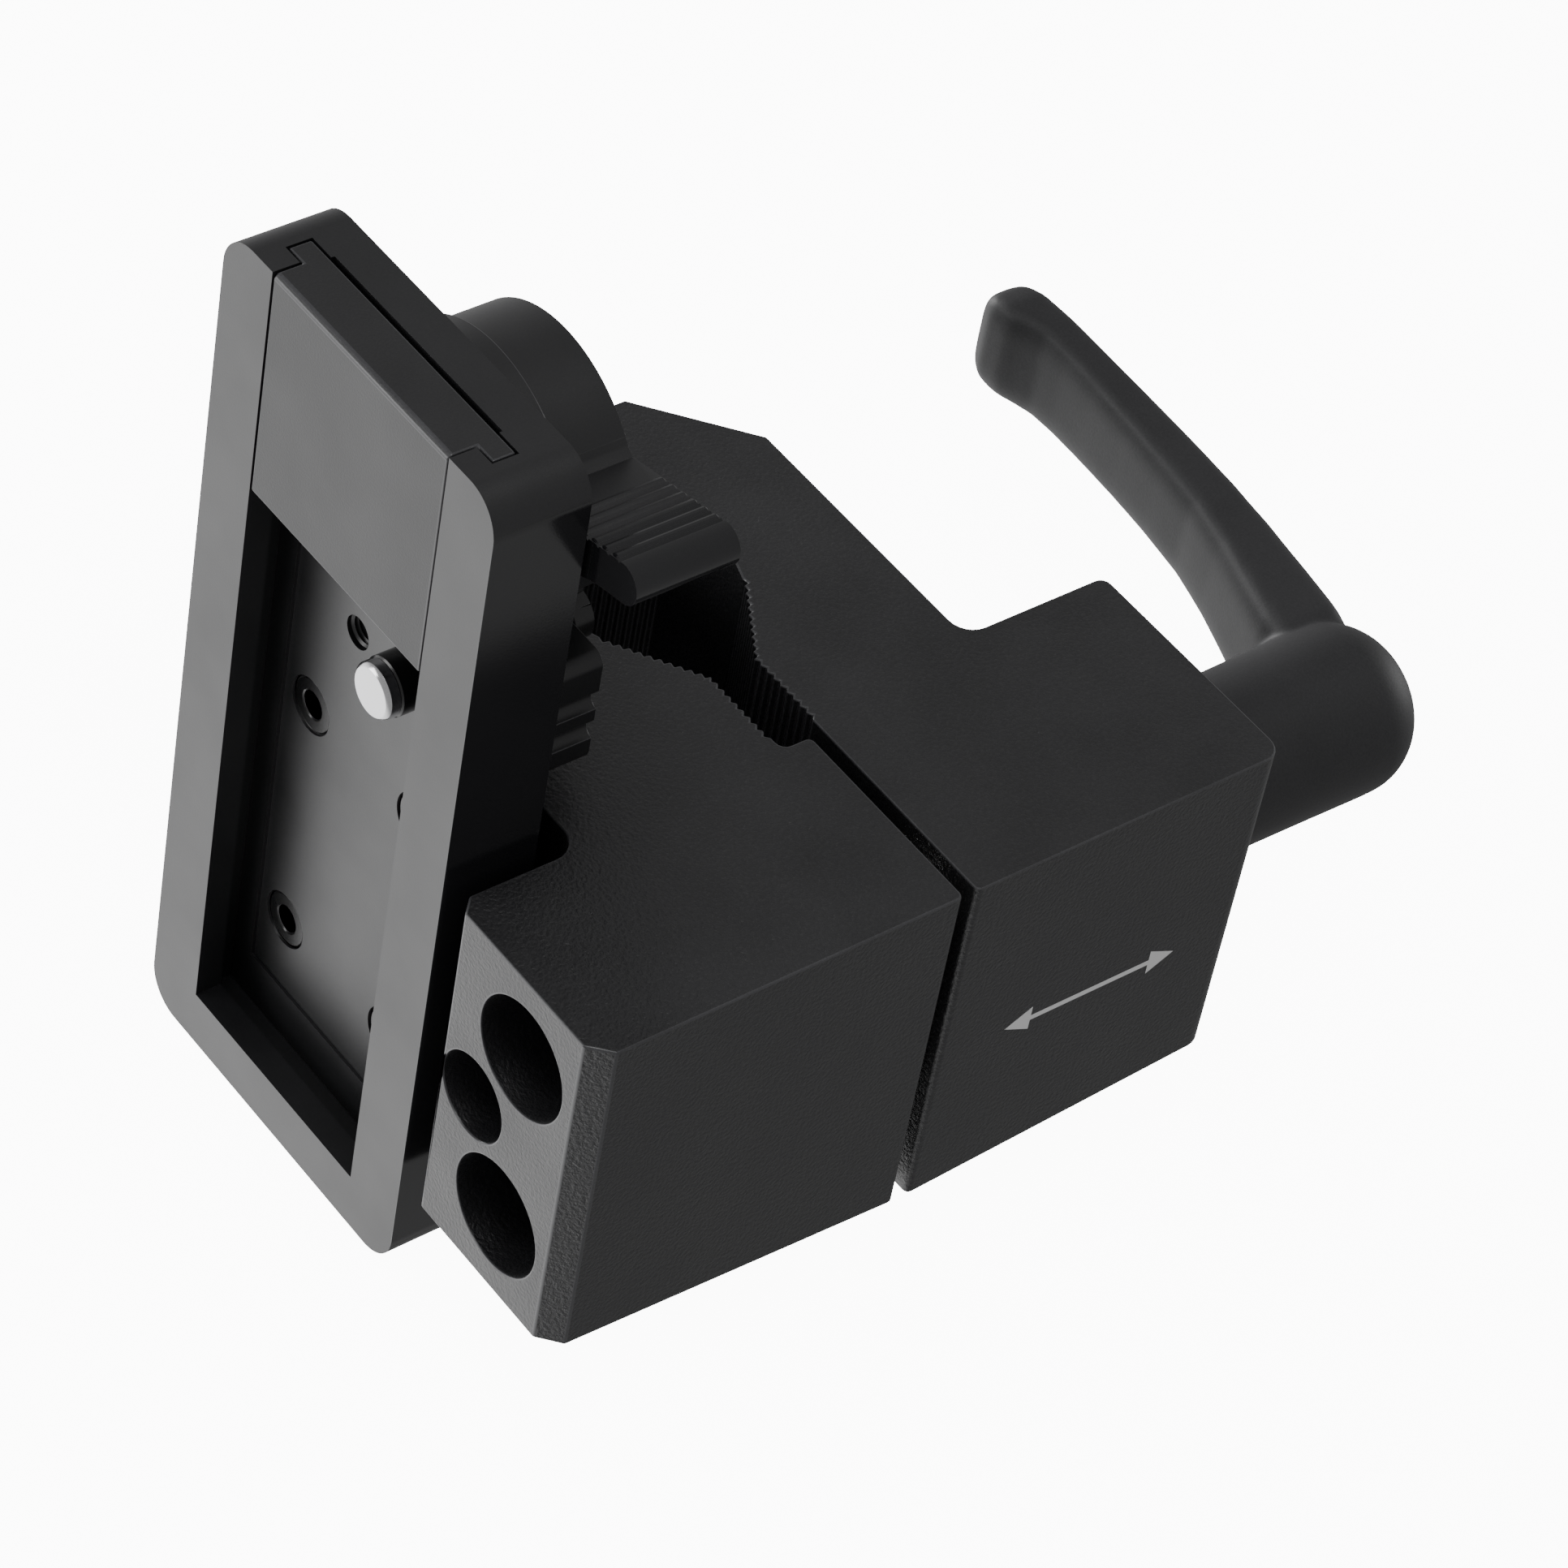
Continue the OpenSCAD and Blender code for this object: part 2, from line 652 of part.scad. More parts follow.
module rod_end_washers() {
    color("gray") for (sz = [-1, 1])
        tube_y(rod_cx, drive_z + sz * rod_dz, rod_bore - 0.8, 5.2, rod_y0 - rod_washer_t, rod_y0);
}

module rod_end_screws() {
    y1 = rod_y0 - rod_washer_t;
    color("black") for (sz = [-1, 1]) {
        z = drive_z + sz * rod_dz;
        difference() {
            union() {
                bar_y(rod_cx, z, 9.5, rod_back, y1);
                bar_y(rod_cx, z, 5, y1 - eps, rod_y0 + 10);
            }
            hex_socket(rod_cx, z, 3, rod_back, 2);
        }
    }
}

// ---- clamp screw ----

module thread_bush() {
    color("goldenrod") tube_y(drive_cx, drive_z, drive_bore, drive_d + 2 * run,
        front_y1 - thread_len, front_y1);
}

module clamp_screw() {
    y0 = front_y1 - thread_len - 6;
    color("silver") difference() {
        union() {
            cone_y(drive_cx, drive_z, drive_d - 2, drive_d, y0, y0 + 1);
            bar_y(drive_cx, drive_z, drive_d, y0 + 1 - eps, insert_y0 + insert_len - 2);
        }
        bar_y(drive_cx, drive_z, cap_shank_d, insert_y0 + insert_len - 12, insert_y0 + insert_len);
    }
}

module screw_ring() {
    color("gray") tube_y(drive_cx, drive_z, drive_d + 8, drive_d, rear_y0 + 0.2, rear_y0 + 2.7);
}

module thrust_washer() {
    color("silver") tube_y(drive_cx, drive_z, knob_d - 1, drive_d + 2 * run, rear_y1, rear_y1 + thrust_t);
}

// ---- clamping lever ----

// Outline of the arm in X and Y, about the screw's axis; the arm points along -X
module arm_outline() {
    root_y = knob_len - 12;
    inner = arm_reach - 10;
    tip_y = root_y + arm_rise;
    out_y = knob_len - 0.1;
    polygon(concat(
        [[0, root_y - 1]],
        [for (i = [0 : 10]) let (k = i / 10) [-13.7 - k * (inner - 17), root_y + arm_rise * pow(k, 0.62)]],
        [[3 - inner, tip_y - 0.6], [-inner - 1, tip_y - 1.6], [-inner - 5, tip_y - 2],
            [-arm_reach + 2, tip_y - 1.4], [-arm_reach + 0.5, tip_y], [-arm_reach, tip_y + 2],
            [-arm_reach, tip_y + 3.4], [-arm_reach + 0.8, tip_y + 4.8], [-arm_reach + 3, tip_y + 6],
            [-arm_reach + 6, tip_y + 6.5]],
        [for (i = [10 : -1 : 0]) let (k = i / 10)
            [-8.7 - k * (inner - 8), out_y + 4.8 * (1 - pow(1 - k, 1.9))]],
        [[0, knob_len - 0.6]]));
}

// Height of the arm's section: deeper where it leaves the hub
module arm_height() {
    a = arm_h / 2;
    r = arm_reach;
    upper = [[2, a * 1.6], [-10, a * 1.5], [-16, a * 1.22], [-24, a * 1.06], [-34, a], [-r + 6, a],
        [-r + 2.6, a - 0.7], [-r + 0.8, a - 2], [-r, a - 3.6]];
    polygon(concat(upper, [for (i = [len(upper) - 1 : -1 : 0]) [upper[i][0], -upper[i][1]]]));
}

module clamping_lever() {
    dome = 7;
    color("#333335") translate([drive_cx, knob_y0, drive_z]) difference() {
        union() {
            // hub with a domed end
            rotate([-90, 0, 0]) rotate_extrude() polygon(concat(
                [[0, 0], [knob_d / 2 - 1, 0], [knob_d / 2, 1], [knob_d / 2, knob_len - dome]],
                arc([knob_d / 2 - dome, knob_len - dome], dome, 0, 90, 8),
                [[0, knob_len]]));
            intersection() {
                translate([0, 0, -20]) linear_extrude(40) arm_outline();
                translate([0, knob_len + 20, 0]) rotate([90, 0, 0])
                    linear_extrude(knob_len + 40) arm_height();
            }
        }
        // bore of the toothed insert, hole for the cap screw, chamber of the lift spring
        translate([0, -1, 0]) rotate([-90, 0, 0])
            cylinder(d = insert_d + 2 * run, h = wall_y0 - knob_y0 + 1);
        rotate([-90, 0, 0]) cylinder(d = cap_shank_d + 2 * run, h = knob_len);
        translate([0, wall_y1 - knob_y0, 0]) rotate([-90, 0, 0]) cylinder(d = cap_bore, h = knob_len);
    }
}

module lever_insert() {
    color("gray") difference() {
        bar_y(drive_cx, drive_z, insert_d, insert_y0, insert_y0 + insert_len);
        bar_y(drive_cx, drive_z, drive_d, insert_y0 - 1, insert_y0 + insert_len - 2);
        bar_y(drive_cx, drive_z, cap_shank_d, insert_y0, insert_y0 + insert_len + 1);
    }
}

module lever_lift_spring() {
    color("lightgray") ring_spring(drive_cx, drive_z, cap_head_d - 0.6, 1.2, wall_y1 + 0.3, cap_head_y - 0.3);
}

module lever_cap_screw() {
    color("black") difference() {
        union() {
            bar_y(drive_cx, drive_z, cap_shank_d, insert_y0 + insert_len - 10, cap_head_y + eps);
            bar_y(drive_cx, drive_z, cap_head_d, cap_head_y, cap_head_y + cap_head_t);
        }
        hex_socket(drive_cx, drive_z, 4, cap_head_y + cap_head_t, 3, -1);
    }
}

receiver_frame();
slide_plate();
frame_screws();
lock_pin();
pin_sleeve();
pin_yoke();
pin_spring();
base_disc();
base_disc_screws();
release_lever();
release_cam();
lever_spring();
pivot_screw();
pivot_washer();
latch_housing();
latch_screws();
front_jaw();
rear_jaw();
upper_guide_rod();
lower_guide_rod();
guide_bushes();
rod_end_washers();
rod_end_screws();
clamp_screw();
thread_bush();
screw_ring();
thrust_washer();
clamping_lever();
lever_insert();
lever_lift_spring();
lever_cap_screw();
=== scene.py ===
import json
import math

import bmesh
import bpy
import numpy as np
from mathutils import Matrix, Vector

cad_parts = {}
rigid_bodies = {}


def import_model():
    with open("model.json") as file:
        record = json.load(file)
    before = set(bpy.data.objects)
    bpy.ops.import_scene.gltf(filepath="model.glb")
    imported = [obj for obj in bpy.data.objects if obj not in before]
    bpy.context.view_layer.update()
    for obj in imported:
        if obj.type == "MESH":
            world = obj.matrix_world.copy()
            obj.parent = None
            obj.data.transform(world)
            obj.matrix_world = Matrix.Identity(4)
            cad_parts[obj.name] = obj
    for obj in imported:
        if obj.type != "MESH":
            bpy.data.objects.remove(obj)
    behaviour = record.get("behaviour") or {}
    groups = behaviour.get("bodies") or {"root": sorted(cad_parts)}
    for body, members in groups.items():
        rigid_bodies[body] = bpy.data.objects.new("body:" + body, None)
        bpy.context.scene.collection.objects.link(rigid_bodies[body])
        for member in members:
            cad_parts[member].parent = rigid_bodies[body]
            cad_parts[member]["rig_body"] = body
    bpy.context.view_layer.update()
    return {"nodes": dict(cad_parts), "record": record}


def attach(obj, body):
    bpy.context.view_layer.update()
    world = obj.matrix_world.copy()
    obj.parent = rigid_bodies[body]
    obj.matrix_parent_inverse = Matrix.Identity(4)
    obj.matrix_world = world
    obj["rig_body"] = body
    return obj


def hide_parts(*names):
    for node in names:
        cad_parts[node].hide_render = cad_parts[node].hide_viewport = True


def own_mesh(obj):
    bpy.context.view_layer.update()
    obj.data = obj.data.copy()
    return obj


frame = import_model()
MM = 0.001

# Places and sizes are in millimetres in the assembly's own frame: X across the receiver, Y from
# the receiver's face towards the clamping lever, Z up. A name that ends in _R is a radius.
FRAME_SIDE_X = 29.9          # just inside the receiver frame's milled side faces
THREAD_X, THREAD_Z, THREAD_R = -4.5, 88.0, 2.5
PIN_X, PIN_Z, PIN_STEPS = 7.2, 90.0, 64      # the last is how many sides a turned pin is given
THUMB_HUB_Z = 115.5          # the thumb lever turns about Y at this height, at X = 0
SCREW_X, SCREW_Z = 41.7, 47.0
LEVER_FOOT_Y = 116.3         # where the clamping lever's hub starts
SHARP_DEGREES = 28           # an edge that turns more than this is shaded as a sharp one


# ---------------------------------------------------------------- camera

def aim_camera():
    """Long lens, high over the receiver's front right corner."""
    eye = Vector((0.43385, -0.34426, 0.61845))
    right = Vector((0.59348, 0.79232, 0.14142))
    up = Vector((-0.62282, 0.34082, 0.70423))
    back = right.cross(up)
    camera_data = bpy.data.cameras.new("camera")
    camera_data.sensor_width = 36.0
    camera_data.sensor_height = 36.0
    camera_data.lens = 135.8
    camera_data.clip_start = 0.05
    camera_data.clip_end = 20.0
    camera = bpy.data.objects.new("camera", camera_data)
    turn = Matrix((right.normalized(), up.normalized(), back.normalized())).transposed()
    camera.matrix_world = Matrix.Translation(eye) @ turn.to_4x4()
    bpy.context.scene.collection.objects.link(camera)
    bpy.context.scene.camera = camera


# ---------------------------------------------------------------- materials

def linear(hex_colour):
    """sRGB hex colour to linear RGBA."""
    parts = [int(hex_colour[i:i + 2], 16) / 255 for i in (1, 3, 5)]
    return [c / 12.92 if c <= 0.04045 else ((c + 0.055) / 1.055) ** 2.4 for c in parts] + [1.0]


def add_node(tree, kind, links=None, **settings):
    """Adds a node; settings name its properties or input sockets, links its linked inputs."""
    node = tree.nodes.new(kind)
    for name, value in settings.items():
        if hasattr(node, name):
            setattr(node, name, value)
        else:
            node.inputs[name.replace("_", " ")].default_value = value
    for name, source in (links or {}).items():
        tree.links.new(source, node.inputs[name])
    return node


def new_material(name, metallic=0.0, ior=1.5, **sockets):
    """A new material with its node tree and shader; sockets are more of the shader's fixed inputs."""
    material = bpy.data.materials.new(name)
    material.use_nodes = True
    tree = material.node_tree
    shader = tree.nodes["Principled BSDF"]
    shader.inputs["Metallic"].default_value = metallic
    shader.inputs["IOR"].default_value = ior
    for socket, value in sockets.items():
        shader.inputs[socket.replace("_", " ")].default_value = value
    return material, tree, shader


def cell_scale(size_mm):
    """Noise scale whose cells are about this many millimetres across."""
    return 1.0 / (size_mm * MM)


def past_side(tree, place, side_mm):
    """1 on faces further than side_mm from the middle across X, and 0 on the rest."""
    across = add_node(tree, "ShaderNodeSeparateXYZ", {"Vector": place}).outputs["X"]
    size = add_node(tree, "ShaderNodeMath", {0: across}, operation="ABSOLUTE").outputs[0]
    edge = add_node(tree, "ShaderNodeMath", {0: size}, operation="GREATER_THAN")
    edge.inputs[1].default_value = side_mm * MM
    return edge.outputs[0]


def metal_finish(name, dark, light, rough_low, rough_high, grain_mm, grain_depth_mm, cloud_mm=18.0,
                 metallic=0.0, ior=1.5, glossy_past_mm=0.0, glossy_rough=0.2):
    """A metal surface with fine grain in its normal and slow clouds in its colour and gloss."""
    material, tree, shader = new_material(name, metallic, ior)
    place = add_node(tree, "ShaderNodeTexCoord").outputs["Object"]
    clouds = add_node(tree, "ShaderNodeTexNoise", {"Vector": place}, Scale=cell_scale(cloud_mm),
                      Detail=3.0).outputs["Fac"]
    grain = add_node(tree, "ShaderNodeTexNoise", {"Vector": place}, Scale=cell_scale(grain_mm),
                     Detail=2.0, Roughness=0.6).outputs["Fac"]

    mixed = add_node(tree, "ShaderNodeMath", {0: clouds, 1: grain}, operation="ADD").outputs[0]
    share = add_node(tree, "ShaderNodeMapRange", {"Value": mixed}, From_Min=0.6, From_Max=1.4)
    colour = add_node(tree, "ShaderNodeMix", {"Factor": share.outputs["Result"]}, data_type="RGBA")
    # sockets 6 and 7 and output 2 are the ones a colour mix uses
    colour.inputs[6].default_value = linear(dark)
    colour.inputs[7].default_value = linear(light)
    tree.links.new(colour.outputs[2], shader.inputs["Base Color"])

    gloss = add_node(tree, "ShaderNodeMapRange", {"Value": clouds}, From_Min=0.3, From_Max=0.7,
                     To_Min=rough_low, To_Max=rough_high).outputs["Result"]
    if glossy_past_mm:
        side = past_side(tree, place, glossy_past_mm)
        gloss = add_node(tree, "ShaderNodeMix", {"Factor": side, "A": gloss}, data_type="FLOAT",
                         B=glossy_rough).outputs["Result"]
    tree.links.new(gloss, shader.inputs["Roughness"])

    bump = add_node(tree, "ShaderNodeBump", {"Height": grain}, Distance=grain_depth_mm * MM)
    tree.links.new(bump.outputs["Normal"], shader.inputs["Normal"])
    return material


# Satin black anodised aluminium, milled then lightly blasted: an even dark grey with a soft sheen,
# and glossier on the frame's milled side faces.
satin_anodised = metal_finish("satin_black_anodised_aluminium", "#161618", "#202022", 0.36, 0.44,
                              grain_mm=0.3, grain_depth_mm=0.008, ior=1.6,
                              glossy_past_mm=FRAME_SIDE_X, glossy_rough=0.16)
# Bead-blasted black anodised aluminium: a little rougher, with a fine sparkle. The beads leave
# dimples of about 0.1 mm, too fine to show, so they are drawn 0.6 mm wide.
blasted_anodised = metal_finish("blasted_black_anodised_aluminium", "#141416", "#262628", 0.38, 0.48,
                                grain_mm=0.6, grain_depth_mm=0.16, ior=1.6)
# Textured black powder coat over die-cast zinc: matte, charcoal, faintly pebbled.
powder_coat = metal_finish("textured_black_powder_coat", "#202022", "#2e2e30", 0.54, 0.62,
                           grain_mm=0.4, grain_depth_mm=0.022, ior=1.5)
# Black oxide on alloy steel screws: almost black with a slight oily sheen.
black_oxide = metal_finish("black_oxide_screw_steel", "#0c0c0d", "#161617", 0.22, 0.32,
                           grain_mm=0.2, grain_depth_mm=0.004, ior=1.6)
# Polished stainless steel: bright, with the faint marks that polishing leaves.
polished_steel = metal_finish("polished_stainless_steel", "#d6d6d8", "#ececee", 0.16, 0.24,
                              grain_mm=0.15, grain_depth_mm=0.002, metallic=1.0)
# Turned carbon steel: duller and greyer than the polished parts.
turned_steel = metal_finish("turned_carbon_steel", "#8d8d90", "#a8a8aa", 0.28, 0.38,
                            grain_mm=0.2, grain_depth_mm=0.004, metallic=1.0)
# Drawn spring wire: bright grey with a soft gloss.
spring_wire = metal_finish("drawn_spring_wire", "#96969a", "#b4b4b6", 0.25, 0.35,
                           grain_mm=0.2, grain_depth_mm=0.004, metallic=1.0)
# Turned bronze: warm, with a soft gloss.
turned_bronze = metal_finish("turned_bronze", "#8a6a3a", "#a9854c", 0.30, 0.40,
                             grain_mm=0.2, grain_depth_mm=0.004, metallic=1.0)
# The sliding plate's own anodising: the same black over a coarser blast, so it shines less.
matte_anodised = metal_finish("matte_black_anodised_plate", "#161618", "#202022", 0.48, 0.54,
                              grain_mm=0.35, grain_depth_mm=0.03, ior=1.6)
# Painted highlight on the anodised parts' bevelled edges: a paler, smoother black laid on the rounded
# edges in place of the light that they catch.
edge_highlight_paint = metal_finish("painted_edge_highlight_anodised", "#303032", "#464649", 0.30, 0.40,
                              grain_mm=0.3, grain_depth_mm=0.004, ior=1.6)

# the record's material slots, and the finish that each one takes
FINISH = {
    "satin_anodised": satin_anodised,
    "blasted_anodised": blasted_anodised,
    "powder_coat": powder_coat,
    "black_screws": black_oxide,
    "black_steel": black_oxide,
    "polished_steel": polished_steel,
    "screw_steel": turned_steel,
    "spring_steel": spring_wire,
    "bronze": turned_bronze,
}
# the slots whose bevelled edges get the paler painted edge highlight
EDGE_SLOTS = ("satin_anodised", "blasted_anodised")
# a node whose finish differs a little from the rest of its slot
OWN_FINISH = {"slide_plate": matte_anodised}
SLOT_OF = {s["node"]: s["material_slot"] for s in frame["record"]["subparts"]}


# ---------------------------------------------------------------- mesh tools

def place_piece(mesh, name, node, stands_for=True):
    """Links a finished mesh, gives it its node's finish and body, and puts it in the node's place."""
    for face in mesh.polygons:
        face.use_smooth = True
    mesh.set_sharp_from_angle(angle=math.radians(SHARP_DEGREES))
    mesh.materials.append(OWN_FINISH.get(node) or FINISH[SLOT_OF[node]])
    piece = bpy.data.objects.new(name, mesh)
    bpy.context.scene.collection.objects.link(piece)
    normals = piece.modifiers.new("even_normals", "WEIGHTED_NORMAL")
    normals.keep_sharp = True
    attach(piece, frame["nodes"][node]["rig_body"])
    if stands_for:
        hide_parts(node)
    return piece


def eased(node, width_mm, name):
    """A copy of a frame node with its sharp edges rounded by width_mm; on the anodised slots the
    rounded edges take a paler painted highlight.
    """
    same_place_mm, flat_degrees, corner_degrees = 0.002, 0.5, 32
    paints_edge_highlight = SLOT_OF[node] in EDGE_SLOTS
    mesh = bpy.data.meshes.new(name)
    work = bmesh.new()
    work.from_mesh(frame["nodes"][node].data)
    bmesh.ops.remove_doubles(work, verts=work.verts, dist=same_place_mm * MM)
    bmesh.ops.dissolve_limit(work, angle_limit=math.radians(flat_degrees), verts=work.verts,
                             edges=work.edges)
    corners = [e for e in work.edges
               if len(e.link_faces) == 2 and e.calc_face_angle(0) > math.radians(corner_degrees)]
    # on the anodised slots the bevel's faces take material 1, the paler painted edge highlight
    bmesh.ops.bevel(work, geom=corners, offset=width_mm * MM, offset_type="OFFSET", segments=2,
                    profile=0.5, affect="EDGES", clamp_overlap=True, harden_normals=False,
                    material=1 if paints_edge_highlight else -1)
    work.to_mesh(mesh)
    work.free()
    piece = place_piece(mesh, name, node)
    if paints_edge_highlight:
        mesh.materials.append(edge_highlight_paint)
    return piece


def ring_about_y(work, x, y, z, steps, radius_at):
    """A ring of vertices about Y; radius_at gives its radius in mm at each turn in radians."""
    ring = []
    for i in range(steps):
        turn = 2 * math.pi * i / steps
        radius = radius_at(turn)
        ring.append(work.verts.new(((x + radius * math.cos(turn)) * MM, y * MM,
                                    (z + radius * math.sin(turn)) * MM)))
    return ring


def turned(work, outline, x, z, steps):
    """Adds an outline of (radius, y) points in mm, turned about the line through x and z along Y."""
    rings = []
    for radius, y in outline:
        if radius == 0:
            rings.append([work.verts.new((x * MM, y * MM, z * MM))] * steps)
        else:
            rings.append(ring_about_y(work, x, y, z, steps, lambda turn: radius))
    return rings


def skin(work, rings, closed=False):
    """Faces between each ring and the next; closed joins the last to the first."""
    pairs = zip(rings, rings[1:] + rings[:1]) if closed else zip(rings, rings[1:])
    for low, high in pairs:
        for i in range(len(low)):
            j = (i + 1) % len(low)
            corners = []
            for corner in (low[i], low[j], high[j], high[i]):
                if corner not in corners:
                    corners.append(corner)
            if len(corners) > 2:
                work.faces.new(corners)


def capped_skin(work, rings):
    """A skin over the rings, with a face over each end."""
    skin(work, rings)
    work.faces.new(rings[0])
    work.faces.new(list(reversed(rings[-1])))


def finished_mesh(work, name):
    """The bmesh as a mesh with its faces turned outwards."""
    bmesh.ops.recalc_face_normals(work, faces=work.faces)
    mesh = bpy.data.meshes.new(name)
    work.to_mesh(mesh)
    work.free()
    return mesh


# ---------------------------------------------------------------- clamping lever

# The arm runs out along -X. Each point is (x, value), in mm from the clamp screw's axis.
# y of its inner face over the hub's foot: it rises along the arm and swells inwards at the tip
ARM_INNER = [(-4.8, 29.5), (-9.5, 29.5), (-13.7, 30.3), (-17, 31.3), (-21, 32.6), (-30, 35.6),
             (-39, 38.0), (-48, 39.3), (-57, 40.3), (-66, 41.0), (-73, 41.4), (-78, 41.3),
             (-81, 40.4), (-84, 39.2), (-88, 38.9), (-90.4, 40.0), (-91.4, 41.8), (-92, 43.8)]
# y of its outer face over the hub's foot
ARM_OUTER = [(-4.8, 41.3), (-8, 42.2), (-12, 43.2), (-16, 44.0), (-21, 44.9), (-30, 46.4),
             (-39, 47.4), (-50, 48.1), (-62, 48.4), (-75, 48.6), (-85, 48.7), (-88.5, 48.3),
             (-90.8, 47.1), (-91.7, 46.0), (-92, 44.8)]
# half its height
ARM_HALF = [(-4.8, 8.4), (-10, 9.4), (-16, 9.0), (-24, 8.5), (-34, 8.1), (-50, 8.0), (-66, 8.2),
            (-80, 8.6), (-86, 8.5), (-89.4, 7.6), (-91.2, 5.8), (-92, 3.2)]
# where the arm's sections are set: every millimetre, and closer where its end rounds over
ARM_STATIONS = [-4.8 - k for k in range(84)] + [-88.8, -89.8, -90.6, -91.2, -91.6, -91.85, -92]
ARM_ROUNDNESS = 0.42         # of a section: 1 would make it an ellipse and 0 a box

# The hub's outline, as (radius, y over its foot)
HUB_SIDE = [(7.55, 0), (11.4, 0), (12.1, 0.3), (12.5, 1.1), (12.7, 20), (12.9, 32)]
HUB_DOME = [(3.3 + 9.6 * math.cos(math.radians(a)), 34.3 + 9.6 * math.sin(math.radians(a)))
            for a in range(5, 81, 5)]
HUB_BORE = [(4.55, 43.3), (4.55, 23), (2.55, 23), (2.55, 20), (7.55, 20)]


def along_arm(points, x):
    """The value of (x, value) points at x, on a straight line between its neighbours."""
    xs, values = zip(*sorted(points))
    return float(np.interp(x, xs, values))


def cast_lever():
    """The clamping lever as one casting: a turned hub blended into a swept arm with rounded edges."""
    voxel_mm, smoothing_passes, hub_steps, arm_steps = 0.5, 9, 96, 40
    work = bmesh.new()
    hub = [(r, LEVER_FOOT_Y + y) for r, y in HUB_SIDE + HUB_DOME + HUB_BORE]
    skin(work, turned(work, hub, SCREW_X, SCREW_Z, hub_steps), closed=True)
    rings = []
    for x in ARM_STATIONS:
        inner, outer, half = (along_arm(points, x) for points in (ARM_INNER, ARM_OUTER, ARM_HALF))
        middle, deep = (inner + outer) / 2, (outer - inner) / 2
        ring = []
        for i in range(arm_steps):
            turn = 2 * math.pi * i / arm_steps
            c, s = math.cos(turn), math.sin(turn)
            ring.append(work.verts.new((
                (SCREW_X + x) * MM,
                (LEVER_FOOT_Y + middle + deep * math.copysign(abs(c) ** ARM_ROUNDNESS, c)) * MM,
                (SCREW_Z + half * math.copysign(abs(s) ** ARM_ROUNDNESS, s)) * MM)))
        rings.append(ring)
    capped_skin(work, rings)

    # the two shells become one closed surface, and its corners are then blended
    shells = bpy.data.objects.new("lever_shells", finished_mesh(work, "lever_shells"))
    bpy.context.scene.collection.objects.link(shells)
    joined = shells.modifiers.new("one_casting", "REMESH")
    joined.mode = "VOXEL"
    joined.voxel_size = voxel_mm * MM
    blended = shells.modifiers.new("blended_corners", "SMOOTH")
    blended.factor = 0.5
    blended.iterations = smoothing_passes
    bpy.context.view_layer.update()
    view = bpy.context.evaluated_depsgraph_get()
    solid = bpy.data.meshes.new_from_object(shells.evaluated_get(view))
    bpy.data.objects.remove(shells)
    solid.name = "cast_clamping_lever"
    return place_piece(solid, "cast_clamping_lever", "clamping_lever")


# ---------------------------------------------------------------- screws, pin and thread

def hexagon(across):
    """Radius at each turn of a hexagon of this size across its flats."""
    def radius_at(turn):
        from_flat = (math.degrees(turn) + 30) % 60 - 30
        return across / 2 / math.cos(math.radians(from_flat))
    return radius_at


def countersunk_screws(name, node, places, head_r, shank_r, head_y, end_y, across):
    """Flat-headed screws along +Y with a dished rim and a hexagon socket."""
    steps, socket_deep, dish_deep, land, chamfer = 48, 1.8, 0.3, 0.3, 0.3
    work = bmesh.new()
    # from the dish out over the flat of the head and its rim, down the cone, and along the shank
    outline = [(0.52 * head_r, head_y + 0.15), (0.56 * head_r, head_y), (head_r - 0.25, head_y),
               (head_r, head_y + 0.2), (head_r, head_y + land),
               (shank_r, head_y + land + head_r - shank_r),
               (shank_r, end_y - chamfer), (shank_r - chamfer, end_y), (0, end_y)]
    for x, z in places:
        rings = turned(work, [(0, head_y + socket_deep)], x, z, steps)
        for y in (head_y + socket_deep, head_y + dish_deep):
            rings.append(ring_about_y(work, x, y, z, steps, hexagon(across)))
        skin(work, rings + turned(work, outline, x, z, steps))
    return place_piece(finished_mesh(work, name), name, node)


def lock_pin_tip():
    """The lock pin: a bright tip with a chamfer, a step at the sleeve, and its thinner core."""
    outline = [(0, 2.4), (3.4, 2.4), (3.6, 2.5), (4.02, 2.95), (4.1, 3.1), (4.1, 4.5), (4.0, 4.6),
               (2.5, 4.6), (2.5, 35.2), (2.3, 35.4), (0, 35.4)]
    work = bmesh.new()
    skin(work, turned(work, outline, PIN_X, PIN_Z, PIN_STEPS))
    return place_piece(finished_mesh(work, "bright_lock_pin"), "bright_lock_pin", "lock_pin")


def lock_pin_sleeve():
    """The black sleeve around the pin's core, with chamfered ends."""
    outline = [(2.52, 4.62), (4.05, 4.62), (4.3, 4.85), (4.3, 12.4), (4.1, 12.6), (2.52, 12.6)]
    work = bmesh.new()
    skin(work, turned(work, outline, PIN_X, PIN_Z, PIN_STEPS), closed=True)
    return place_piece(finished_mesh(work, "black_pin_sleeve"), "black_pin_sleeve", "pin_sleeve")


def swept(work, points, profile):
    """Sweeps a closed profile of (outwards, along Y) offsets in mm along a coil's points."""
    centre = Vector((sum(p.x for p in points) / len(points), 0,
                     sum(p.z for p in points) / len(points)))
    rings = []
    for p in points:
        out = Vector((p.x - centre.x, 0, p.z - centre.z)).normalized()
        rings.append([work.verts.new((p + out * a + Vector((0, b, 0))) * MM) for a, b in profile])
    capped_skin(work, rings)


